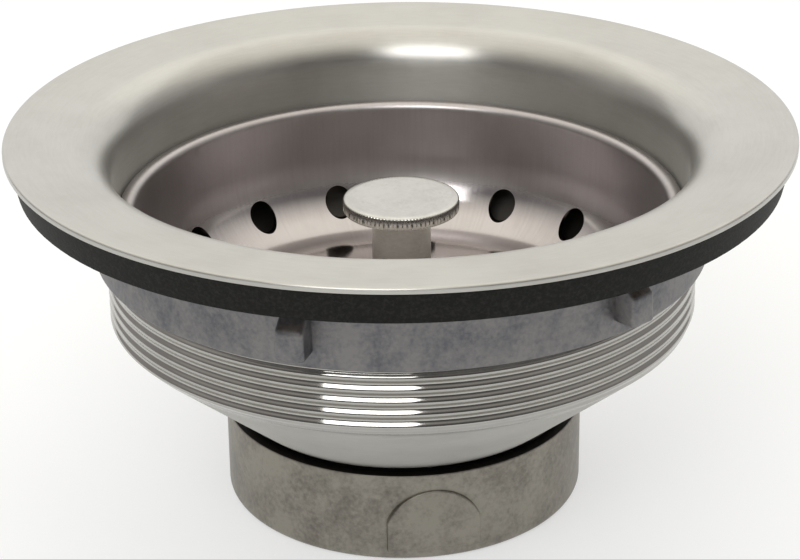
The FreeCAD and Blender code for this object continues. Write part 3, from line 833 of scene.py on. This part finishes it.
@dataclass
class Bowl:
    """The drawn bowl with its flange, throat and rolled thread, and the outlet inside it."""

    flange_radius: float = 57.15
    gauge: float = 0.8
    flange_slope: float = 4.0
    flange_edge: float = 0.35
    throat_round: float = 6.0
    wall_radius: float = 41.9
    knuckle_depth: float = 26.3
    knuckle_round: float = 2.0
    cone_slope: float = 40.0
    ring_radius: float = 25.0
    hole_radius: float = 21.0
    thread_pitch: float = 1.814
    thread_root: float = 0.24
    thread_depth: float = 0.44
    thread_start: float = -27.36
    thread_low: float = -27.6
    thread_top: float = -7.0
    thread_fade: float = 0.9
    # Roughness of each zone, and the radii or heights between which one gives way to the next.
    throat_roughness: float = 0.32
    wall_roughness: float = 0.58
    thread_roughness: float = 0.1
    # Painted shade on the outside of the thread, fading out towards the cone.
    thread_painted_shade: float = 0.24
    cone_roughness: float = 0.65
    throat_to_flange: Point = (45.0, 49.5)
    throat_to_wall: Point = (-4.0, -6.5)
    thread_to_cone: Point = (-27.0, -29.0)
    # Heights over which the inside below the basket's rim goes over to full painted shade.
    lit_to_painted_shade: Point = (-13.0, -14.0)
    # Lengths of the mesh's steps, and its steps round each bend.
    sheet_step: float = 1.5
    cone_step: float = 1.0
    edge_steps: int = 6
    throat_steps: int = 24
    under_steps: int = 16
    knuckle_steps: int = 12
    inner_knuckle_steps: int = 8
    rows_per_pitch: int = 18
    segments: int = 288

    def outline(self) -> list[Point]:
        """Corner points of the sheet's section, round both of its faces.

        Returns:
            A closed loop of radius and height.
        """
        slope = math.radians(self.flange_slope)
        cone = math.radians(self.cone_slope)
        upright = 90 + self.flange_slope
        cone_low = self.cone_slope - 90
        rim_top = self.gauge / math.cos(slope)
        throat = (
            self.wall_radius + self.throat_round,
            rim_top
            - (self.flange_radius - self.wall_radius - self.throat_round) * math.tan(slope)
            - self.throat_round / math.cos(slope),
        )
        knuckle = (self.wall_radius + self.gauge - self.knuckle_round, -self.knuckle_depth)
        ring_low = (
            knuckle[1]
            - self.knuckle_round * math.cos(cone)
            - (knuckle[0] + self.knuckle_round * math.sin(cone) - self.ring_radius) * math.tan(cone)
        )
        ring_top = ring_low + self.gauge
        inner_round = self.knuckle_round - self.gauge
        inner_cone = (
            knuckle[0] + inner_round * math.sin(cone),
            knuckle[1] - inner_round * math.cos(cone),
        )
        ring_inner = inner_cone[0] - (inner_cone[1] - ring_top) / math.tan(cone)
        edge = (self.flange_radius - self.flange_edge, rim_top - self.flange_edge)
        bend = arc(throat, self.throat_round, upright, 180, self.throat_steps)
        under_bend = arc(throat, self.throat_round - self.gauge, 180, upright, self.under_steps)
        inside = arc(knuckle, inner_round, 0, cone_low, self.inner_knuckle_steps)
        outside = arc(knuckle, self.knuckle_round, cone_low, 0, self.knuckle_steps)
        loop = [(self.flange_radius, 0.0)]
        loop += arc(edge, self.flange_edge, 0, upright, self.edge_steps)
        loop += run(loop[-1], bend[0], self.sheet_step) + bend
        loop += run(bend[-1], inside[0], self.sheet_step) + inside
        loop += run(inside[-1], (ring_inner, ring_top), self.sheet_step)
        loop += [(ring_inner, ring_top), (self.hole_radius, ring_top)]
        loop += [(self.hole_radius, ring_low), (self.ring_radius, ring_low)]
        loop += run((self.ring_radius, ring_low), outside[0], self.cone_step) + outside
        loop += run(outside[-1], under_bend[0], self.thread_pitch / self.rows_per_pitch)
        return loop + under_bend

    def zone(self, inside: bool, radius: float, height: float) -> Zone:
        """Roughness and painted shade of a point of the shell.

        Args:
            inside: whether it is on the face that holds water.
            radius: its radius in millimetres.
            height: its height in millimetres.

        Returns:
            Roughness, and a painted shade of 1 where the basket keeps light off, and a partial
            painted shade on the thread.
        """
        if inside:
            out = blend(radius, *self.throat_to_flange)
            down = blend(height, *self.throat_to_wall)
            rough = self.throat_roughness
            rough += (BOWL_STEEL.roughness - rough) * out + (self.wall_roughness - rough) * down
            return rough, blend(height, *self.lit_to_painted_shade)
        share = blend(height, *self.thread_to_cone)
        rough = self.thread_roughness + (self.cone_roughness - self.thread_roughness) * share
        return rough, self.thread_painted_shade * (1.0 - share)

    def build(self) -> bpy.types.Mesh:
        """Turn the section and raise the thread on its outer wall.

        Returns:
            The bowl's mesh.
        """
        loop = self.outline()
        last_inside = loop.index(min(loop, key=lambda point: point[0])) + 1
        inside = [row <= last_inside for row in range(len(loop))] * self.segments
        mesh = lathe("bowl_shell_turned", loop, self.segments)
        mark_zones(mesh, lambda index, radius, height: self.zone(inside[index], radius, height))
        share = mesh.attributes.new(RolledThread.SHARE, "FLOAT", "POINT")
        for vertex, value in zip(mesh.vertices, share.data):
            height = vertex.co.z / MM
            rising = blend(height, self.thread_low, self.thread_low + self.thread_fade)
            falling = blend(height, self.thread_top, self.thread_top - self.thread_fade)
            value.value = 0.0 if inside[vertex.index] else min(rising, falling)
        sizes = {
            "Pitch": self.thread_pitch * MM,
            "Start": self.thread_start * MM,
            "Root": self.thread_root * MM,
            "Depth": self.thread_depth * MM,
        }
        bowl = RolledThread("rolled_thread").bake("bowl_shell", mesh, sizes, BOWL_STEEL)
        smooth(bowl, SHARP_THREAD)
        return bowl

    def dress(self) -> None:
        """Place the bowl and finish the outlet pieces inside it."""
        place_piece("bowl_shell", self.build(), "bowl", "strainer_body")
        dress_node("outlet_neck", STAMPED_STEEL)
        dress_node("outlet_cross", STAMPED_STEEL)


@dataclass
class Clamp:
    """The rubber gasket, fibre washer and lugged locknut under the sink deck."""

    nut_top: float = -5.8
    nut_low: float = -17.0
    nut_radius: float = 45.0
    nut_bore: float = 43.7
    nut_edge: float = 0.4
    flange_radius: float = 48.5
    flange_gauge: float = 2.0
    lug_count: int = 6
    lug_tip: float = 48.4
    lug_width: float = 4.3
    lug_taper: float = 0.2
    lug_low: float = -14.8
    lug_shoulder: float = -10.4
    lug_top: float = -7.5
    lug_bevel: float = 0.6
    lug_phase: float = 42.0
    wall_step: float = 2.0
    edge_steps: int = 5
    segments: int = 180

    def ring(self) -> bpy.types.Mesh:
        """Turn the nut's ring with its bearing flange.

        Returns:
            The ring's mesh.
        """
        step = self.nut_top - self.flange_gauge
        edge = self.nut_edge
        low_edge = (self.nut_radius - edge, self.nut_low + edge)
        loop = [(self.nut_bore + edge, self.nut_low)]
        loop += arc(low_edge, edge, -90, 0, self.edge_steps)
        loop += run(loop[-1], (self.nut_radius, step), self.wall_step)
        loop += [(self.nut_radius, step), (self.flange_radius, step)]
        loop += [(self.flange_radius, self.nut_top), (self.nut_bore + edge, self.nut_top)]
        loop += [(self.nut_bore, self.nut_top - edge), (self.nut_bore, self.nut_low + edge)]
        return lathe("locknut_ring", loop, self.segments)

    def lug(self) -> bpy.types.Mesh:
        """Make one lug with a sloping top and rounded edges, pointing along -Y.

        Returns:
            The lug's mesh.
        """
        root = (self.nut_bore + self.nut_radius) / 2
        half = self.lug_width / 2
        narrow = half - self.lug_taper
        ends = []
        for reach, top in ((root, self.lug_top), (self.lug_tip, self.lug_shoulder)):
            foot = [(-half, self.lug_low), (half, self.lug_low)]
            ends.append((reach, foot + [(narrow, top), (-narrow, top)]))
        return bevelled_block("locknut_lug", ends, self.lug_bevel, sides=True)

    def dress(self) -> None:
        """Place the locknut and finish the gasket and washer."""
        lugs = RingOfCopies("ring_of_copies").repeat(
            "locknut_lugs", self.lug(), self.lug_count, self.lug_phase, LOCKNUT_ZINC
        )
        whole = joined("locknut_casting", [self.ring(), lugs], LOCKNUT_ZINC)
        place_piece("locknut_casting", whole, "locknut_ring", "locknut")
        dress_node("flange_gasket", BLACK_RUBBER)
        dress_node("friction_washer", PRESSED_FIBRE)


@dataclass
class OutletJoint:
    """The coupling nut with its flat arched pads, and the washer inside it."""

    nut_low: float = -56.3947
    nut_height: float = 13.92
    nut_radius: float = 26.8
    nut_bore: float = 24.1
    lip_gauge: float = 2.0
    hole_radius: float = 19.4
    top_chamfer: float = 0.9
    top_round: float = 0.25
    low_round: float = 1.2
    pad_count: int = 2
    pad_width: float = 13.6
    pad_side: float = 4.6
    pad_arch: float = 7.2
    pad_proud: float = 0.28
    pad_lift: float = 2.0
    pad_bevel: float = 0.27
    pad_phase: float = 9.0
    # How far in from the wall, and down from the mouth or out from the bore, the shadow starts.
    shadow_rim: float = 0.15
    shadow_gap: float = 0.1
    wall_step: float = 1.5
    low_steps: int = 8
    top_steps: int = 4
    arch_steps: int = 24
    segments: int = 180

    def wall(self) -> bpy.types.Mesh:
        """Turn the nut's wall and lip.

        Returns:
            The wall's mesh.
        """
        top = self.nut_low + self.nut_height
        lip = self.nut_low + self.lip_gauge
        low = (self.nut_radius - self.low_round, self.nut_low + self.low_round)
        edge = (self.nut_radius - self.top_round, top - self.top_round)
        loop = [(self.hole_radius, self.nut_low)]
        loop += arc(low, self.low_round, -90, 0, self.low_steps)
        loop += run(loop[-1], (self.nut_radius, edge[1]), self.wall_step)
        loop += arc(edge, self.top_round, 0, 90, self.top_steps)
        loop += [(self.nut_bore + self.top_chamfer, top), (self.nut_bore, top - self.top_chamfer)]
        loop += [(self.nut_bore, lip), (self.hole_radius, lip)]
        return lathe("coupling_wall", loop, self.segments)

    def pad(self) -> bpy.types.Mesh:
        """Make one flat arched pad, facing -Y.

        Returns:
            The pad's mesh.
        """
        half = self.pad_width / 2
        low = self.nut_low + self.pad_lift
        drop = math.sqrt(self.pad_arch**2 - half**2)
        reach = math.degrees(math.atan2(drop, half))
        centre = (0.0, low + self.pad_side - drop)
        arch = arc(centre, self.pad_arch, reach, 180 - reach, self.arch_steps)
        outline = [(-half, low), (half, low), *arch]
        root = (self.nut_bore + self.nut_radius) / 2
        ends = [(root, outline), (self.nut_radius + self.pad_proud, outline)]
        return bevelled_block("coupling_pad", ends, self.pad_bevel, sides=False)

    def zone(self, index: int, radius: float, height: float) -> Zone:
        """Roughness and painted shadow of a point: the mouth and bore lie in the bowl's shadow."""
        mouth = self.nut_low + self.nut_height - self.shadow_gap
        on_mouth = radius < self.nut_radius - self.shadow_rim and height > mouth
        hidden = on_mouth or radius < self.nut_bore + self.shadow_gap
        return COUPLING_ZINC.roughness, 1.0 if hidden else 0.0

    def dress(self) -> None:
        """Place the coupling nut and finish its washer."""
        pads = RingOfCopies("ring_of_copies").repeat(
            "coupling_pads", self.pad(), self.pad_count, self.pad_phase, COUPLING_ZINC
        )
        whole = joined("coupling_nut_casting", [self.wall(), pads], COUPLING_ZINC)
        mark_zones(whole, self.zone)
        place_piece("coupling_nut_casting", whole, "slip_nut", "coupling_nut")
        dress_node("tailpiece_washer", POLYETHYLENE)


@dataclass
class Basket:
    """The perforated cup with its knob, post and the stopper stack under it."""

    gauge: float = 0.6
    rim_radius: float = 41.5
    rim_height: float = -10.4
    rim_round: float = 1.2
    rim_edge: float = 1.2
    rim_skirt: float = 1.6
    wall_radius: float = 38.9
    draft: float = 0.5
    floor: float = -30.2
    corner_round: float = 11.0
    floor_hole: float = 3.25
    hole_count: int = 17
    hole_radius: float = 2.225
    hole_height: float = -25.8
    hole_phase: float = -5.2
    # Finely meshed patch round each hole: its reach, and its rings, closer near the hole.
    columns: int = 12
    patch_above: float = 6.0
    patch_below: float = 1.3
    patch_slack: float = 0.02
    patch_rings: int = 14
    patch_spread: float = 1.4
    knob_radius: float = 8.55
    knob_top: float = -10.6
    knob_thickness: float = 1.9
    knob_edge: float = 0.3
    knob_land: float = 1.2
    stud_radius: float = 2.2
    stud_length: float = 6.0
    # Teeth of the straight knurl, and the section of one as shares of its depth.
    knurl_count: int = 110
    knurl_depth: float = 0.1
    knurl_reach: float = 0.9
    knurl_section: tuple[float, ...] = (0.0, 0.55, 1.0, 0.55, 0.0)
    floor_roughness: float = 0.13
    floor_to_wall: Point = (-24.8, -22.6)
    # Lengths of the mesh's steps, and its steps round each bend.
    rim_step: float = 0.6
    wall_step: float = 0.35
    floor_step: float = 0.9
    rim_edge_steps: int = 5
    rim_steps: int = 7
    corner_steps: int = 48
    knob_edge_steps: int = 4

    def face(self, lift: float) -> list[Point]:
        """Section of one face of the cup's sheet, from under the rim's edge to the floor's hole.

        Args:
            lift: distance of that face from the inner face.

        Returns:
            Finely spaced points of radius and height.
        """
        draft = math.radians(self.draft)
        rim_centre = (
            self.wall_radius + self.rim_round * math.cos(draft),
            self.rim_height - self.rim_round,
        )
        edge_centre = (self.rim_radius - self.rim_edge, self.rim_height - self.rim_edge)
        corner_height = self.floor + self.corner_round
        wall_low = corner_height - self.corner_round * math.sin(draft)
        wall_top = rim_centre[1] + self.rim_round * math.sin(draft)
        corner_radius = (
            self.wall_radius
            - (wall_top - wall_low) * math.tan(draft)
            - self.corner_round * math.cos(draft)
        )
        corner = (corner_radius, corner_height)
        skirt = (self.rim_radius - lift, self.rim_height - self.rim_skirt)
        edge = arc(edge_centre, self.rim_edge - lift, 0, 90, self.rim_edge_steps)
        rim = arc(rim_centre, self.rim_round - lift, 90, 180 - self.draft, self.rim_steps)
        bend = arc(corner, self.corner_round + lift, -self.draft, -90, self.corner_steps)
        hole = (self.floor_hole, self.floor - lift)
        points = [skirt, *run(skirt, edge[0], self.rim_step), *edge]
        points += run(edge[-1], rim[0], self.rim_step) + rim
        points += run(rim[-1], bend[0], self.wall_step) + bend
        return points + run(bend[-1], hole, self.floor_step) + [hole]

    def turns(self) -> list[float]:
        """Angles of a sector's columns, with its hole at +Y."""
        half = math.pi / self.hole_count
        return [math.pi / 2 + half * (2 * j / self.columns - 1) for j in range(self.columns + 1)]

    def strip(self, start: Point, end: Point) -> list[list[Place]]:
        """Faces across a sector between two points of its section.

        Args:
            start: radius and height of the first point.
            end: radius and height of the other.

        Returns:
            The corner places of each face.
        """
        (r0, z0), (r1, z1) = start, end
        turns = self.turns()
        return [
            [at(r0, t0, z0), at(r0, t1, z0), at(r1, t1, z1), at(r1, t0, z1)]
            for t0, t1 in zip(turns, turns[1:])
        ]

    def hole_edge(self, span: Sequence[Point], lengths: Sequence[float]) -> list[Point]:
        """Follow the punched hole's edge over the sheet.

        Args:
            span: section points of the patch.
            lengths: length down the section at each of them.

        Returns:
            Angle, and length down the section, of each point of the edge.
        """
        edge = []
        count = 4 * self.columns
        for k in range(count):
            angle = math.radians(135 - 360 * k / count)
            across = self.hole_radius * math.cos(angle)
            height = self.hole_height + self.hole_radius * math.sin(angle)
            j = min(max(i for i, p in enumerate(span) if p[1] >= height), len(span) - 2)
            share = (span[j][1] - height) / (span[j][1] - span[j + 1][1])
            radius = span[j][0] + (span[j + 1][0] - span[j][0]) * share
            length = lengths[j] + (lengths[j + 1] - lengths[j]) * share
            edge.append((math.pi / 2 - math.asin(across / radius), length))
        return edge

    def sheet_faces(self, lift: float) -> tuple[list[list[Place]], list[Place]]:
        """Faces of one sector of one side of the sheet, with its hole left open.

        Args:
            lift: distance of that side from the inner side.

        Returns:
            The faces, and the places round the hole's edge.
        """
        points = self.face(lift)
        high = self.hole_height + self.hole_radius + self.patch_above
        low = self.hole_height - self.hole_radius + self.patch_slack
        start = max(i for i, p in enumerate(points) if p[1] > high)
        under = next(i for i, p in enumerate(points) if i > start and p[1] < low)
        end = next(
            i
            for i in range(under, len(points))
            if math.dist(points[i], points[under]) > self.patch_below
        )
        faces = []
        for i in (*range(start), *range(end, len(points) - 1)):
            faces += self.strip(points[i], points[i + 1])
        span = points[start : end + 1]
        lengths = [0.0]
        for a, b in zip(span, span[1:]):
            lengths.append(lengths[-1] + math.dist(a, b))

        def on_sheet(turn: float, length: float) -> Place:
            """Place on the sheet at an angle and a length down the section."""
            k = max(0, min(len(span) - 2, bisect_right(lengths, length) - 1))
            share = (length - lengths[k]) / (lengths[k + 1] - lengths[k])
            r = span[k][0] + (span[k + 1][0] - span[k][0]) * share
            z = span[k][1] + (span[k + 1][1] - span[k][1]) * share
            return at(r, turn, z)

        turns, side, whole = self.turns(), self.columns, lengths[-1]
        border = [(turns[-1 - j], 0.0) for j in range(side)]
        border += [(turns[0], whole * j / side) for j in range(side)]
        border += [(turns[j], whole) for j in range(side)]
        border += [(turns[-1], whole * (1 - j / side)) for j in range(side)]
        edge = self.hole_edge(span, lengths)
        rings = []
        for n in range(self.patch_rings + 1):
            share = (n / self.patch_rings) ** self.patch_spread
            rings.append(
                [
                    on_sheet(e[0] + (b[0] - e[0]) * share, e[1] + (b[1] - e[1]) * share)
                    for e, b in zip(edge, border)
                ]
            )
        for inner, outer in zip(rings, rings[1:]):
            faces += band(inner, outer)
        return faces, rings[0]

    def cup_sector(self) -> bpy.types.Mesh:
        """Make one sector of the cup with its punched hole.

        Returns:
            The sector's mesh.
        """
        inner, inner_edge = self.sheet_faces(0.0)
        outer, outer_edge = self.sheet_faces(self.gauge)
        skirt = self.rim_height - self.rim_skirt
        faces = inner + outer + band(inner_edge, outer_edge)
        faces += self.strip((self.rim_radius, skirt), (self.rim_radius - self.gauge, skirt))
        floor_edge = (self.floor_hole, self.floor)
        faces += self.strip(floor_edge, (self.floor_hole, self.floor - self.gauge))
        return mesh_from_faces("cup_sector", faces)

    def knob_sector(self) -> bpy.types.Mesh:
        """Make one tooth of the knurled knob, from the axis to the rim.

        Returns:
            The sector's mesh.
        """
        edge = self.knob_edge
        low = self.knob_top - self.knob_thickness
        stud = low - self.stud_length
        land = self.knob_radius - self.knob_land
        high_edge = (self.knob_radius - edge, self.knob_top - edge)
        low_edge = (self.knob_radius - edge, low + edge)
        points = [(0.0, stud), (self.stud_radius, stud), (self.stud_radius, low), (land, low)]
        points += arc(low_edge, edge, -90, 0, self.knob_edge_steps)
        points += arc(high_edge, edge, 0, 90, self.knob_edge_steps)
        points += [(land, self.knob_top), (0.0, self.knob_top)]
        half = math.pi / self.knurl_count
        sides = len(self.knurl_section) - 1
        turns = [math.pi / 2 + half * (2 * j / sides - 1) for j in range(sides + 1)]

        def spot(point: Point, column: int) -> Place:
            """Place of a section point on one column of the tooth."""
            radius = point[0]
            if radius > self.knob_radius - self.knurl_reach * edge:
                radius -= self.knurl_depth * self.knurl_section[column]
            return at(radius, turns[column], point[1])

        faces = []
        for a, b in zip(points, points[1:]):
            for j in range(sides):
                face = [spot(a, j), spot(a, j + 1), spot(b, j + 1), spot(b, j)]
                if a[0] == 0:
                    face = face[1:]
                elif b[0] == 0:
                    face = face[:3]
                faces.append(face)
        return mesh_from_faces("knob_sector", faces)

    def zone(self, index: int, radius: float, height: float) -> Zone:
        """Roughness and shade of a point: the die rubs the wall and leaves the floor bright."""
        rougher = (CUP_STEEL.roughness - self.floor_roughness) * blend(height, *self.floor_to_wall)
        return self.floor_roughness + rougher, 0.0

    def dress(self) -> None:
        """Place the cup and knob and finish the pieces on the post."""
        ring = RingOfCopies("ring_of_copies")
        cup = ring.repeat(
            "cup_drawing", self.cup_sector(), self.hole_count, self.hole_phase, CUP_STEEL
        )
        mark_zones(cup, self.zone)
        place_piece("cup_drawing", cup, "basket", "basket_cup")
        knob = ring.repeat("knob_turning", self.knob_sector(), self.knurl_count, 0.0, PLATED)
        place_piece("knob_turning", knob, "post", "basket_knob")
        dress_node("basket_post", TURNED_POST)
        dress_node("backing_washer", STAMPED_STEEL)
        dress_node("stopper_seal", BLACK_RUBBER)
        dress_node("retaining_washer", STAMPED_STEEL)
        dress_node("retaining_nut", MACHINED_BRASS)


@dataclass(frozen=True)
class SoftBox:
    """A soft rectangular lamp that faces the object.

    Its azimuth is in degrees to the right of the camera's side, its elevation in degrees above
    the horizon, and its distance, width and height are in metres.
    """

    name: str
    azimuth: float
    elevation: float
    distance: float
    size: Point
    watts: float
    colour: str

    def hang(self) -> None:
        """Put the lamp in the scene."""
        data = bpy.data.lights.new(self.name, "AREA")
        data.shape = "RECTANGLE"
        data.size, data.size_y = self.size
        data.energy = self.watts
        data.color = linear(self.colour)[:3]
        lamp = bpy.data.objects.new(self.name, data)
        bpy.context.scene.collection.objects.link(lamp)
        a, e = math.radians(self.azimuth), math.radians(self.elevation)
        away = Vector((math.sin(a) * math.cos(e), -math.cos(a) * math.cos(e), math.sin(e)))
        lamp.location = away * self.distance
        lamp.rotation_mode = "QUATERNION"
        lamp.rotation_quaternion = away.to_track_quat("Z", "Y")


@dataclass
class Studio:
    """The pale floor, soft lights and camera of the photograph's view."""

    floor_height: float = -56.3947
    floor_half: float = 3000.0
    camera_place: Place = (0.0, -334.454, 127.964)
    camera_right: Place = (0.999922, -0.004395, -0.011699)
    camera_up: Place = (0.012470, 0.413394, 0.910467)
    camera_ahead: Place = (-0.000835, 0.910542, -0.413416)
    lens: float = 111.008
    sensor: float = 36.0
    clip_start: float = 0.01
    # The room's light: its front and back walls, and a ceiling that leans down to the front.
    front_colour: str = "#F8F2F4"
    front_level: float = 0.1
    wall_colour: str = "#F8F4F4"
    wall_level: float = 0.48
    front_to_wall: Point = (-1.0, 0.4)
    ceiling_colour: str = "#FFFBF1"
    ceiling_level: float = 1.36
    wall_to_ceiling: Point = (0.33, 0.9)
    ceiling_lean: float = 0.35
    lamps: tuple[SoftBox, ...] = (
        SoftBox(
            name="key_softbox", azimuth=-14.0, elevation=41.0, distance=0.9,
            size=(0.48, 0.42), watts=2.9, colour="#FFFFFF",
        ),
        SoftBox(
            name="back_softbox", azimuth=180.0, elevation=28.0, distance=1.2,
            size=(2.4, 1.3), watts=6.0, colour="#FFFFFC",
        ),
    )

    def floor(self) -> None:
        """Lay a plain pale floor under the coupling nut."""
        half = self.floor_half * MM
        height = self.floor_height * MM
        mesh = bpy.data.meshes.new("floor")
        corners = [(x, y, height) for x in (-half, half) for y in (-half, half)]
        mesh.from_pydata(corners, [], [(0, 2, 3, 1)])
        paper = WHITE_PAPER.material()
        # The white is only how the paper is seen, so it isn't sampled as a lamp.
        paper.cycles.emission_sampling = "NONE"
        mesh.materials.append(paper)
        new_object("floor", mesh)

    def dimmed(self, colour: str, level: float) -> tuple[float, float, float, float]:
        """Linear colour at a light level."""
        red, green, blue, alpha = linear(colour)
        return red * level, green * level, blue * level, alpha

    def world(self) -> None:
        """Light the room from a warm ceiling over darker walls."""
        world = bpy.data.worlds.new("studio")
        bpy.context.scene.world = world
        world.use_nodes = True
        tree = world.node_tree
        tree.nodes.clear()
        place = add_node(tree, "ShaderNodeTexCoord").outputs["Generated"]
        _, depth, height = add_node(tree, "ShaderNodeSeparateXYZ", links={0: place}).outputs
        span = {"From Min": -1.0, "From Max": 0.0, "To Min": -self.ceiling_lean, "To Max": 0.0}
        lean = add_node(tree, "ShaderNodeMapRange", span, {"Value": depth})
        leaned = add_node(
            tree, "ShaderNodeMath", links={0: height, 1: lean.outputs[0]}, operation="ADD"
        ).outputs[0]
        shares = []
        for value, (low, high) in ((depth, self.front_to_wall), (leaned, self.wall_to_ceiling)):
            span = {"From Min": low, "From Max": high}
            share = add_node(tree, "ShaderNodeMapRange", span, {"Value": value})
            shares.append(share.outputs[0])
        walls = add_node(
            tree,
            "ShaderNodeMix",
            {
                COLOUR_A: self.dimmed(self.front_colour, self.front_level),
                COLOUR_B: self.dimmed(self.wall_colour, self.wall_level),
            },
            {FACTOR: shares[0]},
            data_type="RGBA",
        )
        tone = add_node(
            tree,
            "ShaderNodeMix",
            {COLOUR_B: self.dimmed(self.ceiling_colour, self.ceiling_level)},
            {FACTOR: shares[1], COLOUR_A: walls.outputs[COLOUR_RESULT]},
            data_type="RGBA",
        )
        room = add_node(
            tree, "ShaderNodeBackground", links={"Color": tone.outputs[COLOUR_RESULT]}
        )
        add_node(tree, "ShaderNodeOutputWorld", links={0: room.outputs[0]})

    def camera(self) -> None:
        """Set the camera where the photograph was taken from."""
        data = bpy.data.cameras.new("camera")
        data.lens = self.lens
        data.sensor_width = self.sensor
        data.sensor_fit = "HORIZONTAL"
        data.clip_start = self.clip_start
        camera = bpy.data.objects.new("camera", data)
        bpy.context.scene.collection.objects.link(camera)
        columns = (Vector(self.camera_right), Vector(self.camera_up), -Vector(self.camera_ahead))
        turn = Matrix(columns).transposed().to_4x4()
        camera.matrix_world = Matrix.Translation(Vector(self.camera_place) * MM) @ turn
        bpy.context.scene.camera = camera

    def set_up(self) -> None:
        """Set the floor, light and camera."""
        self.floor()
        self.world()
        for lamp in self.lamps:
            lamp.hang()
        self.camera()
        bpy.context.scene.view_settings.view_transform = "Standard"


def main() -> None:
    """Build the strainer piece by piece and set up the studio."""
    logging.basicConfig(level=logging.INFO, format="%(name)s: %(message)s")
    for part in (Bowl(), Clamp(), OutletJoint(), Basket()):
        part.dress()
    Studio().set_up()


if __name__ == "__main__":
    main()
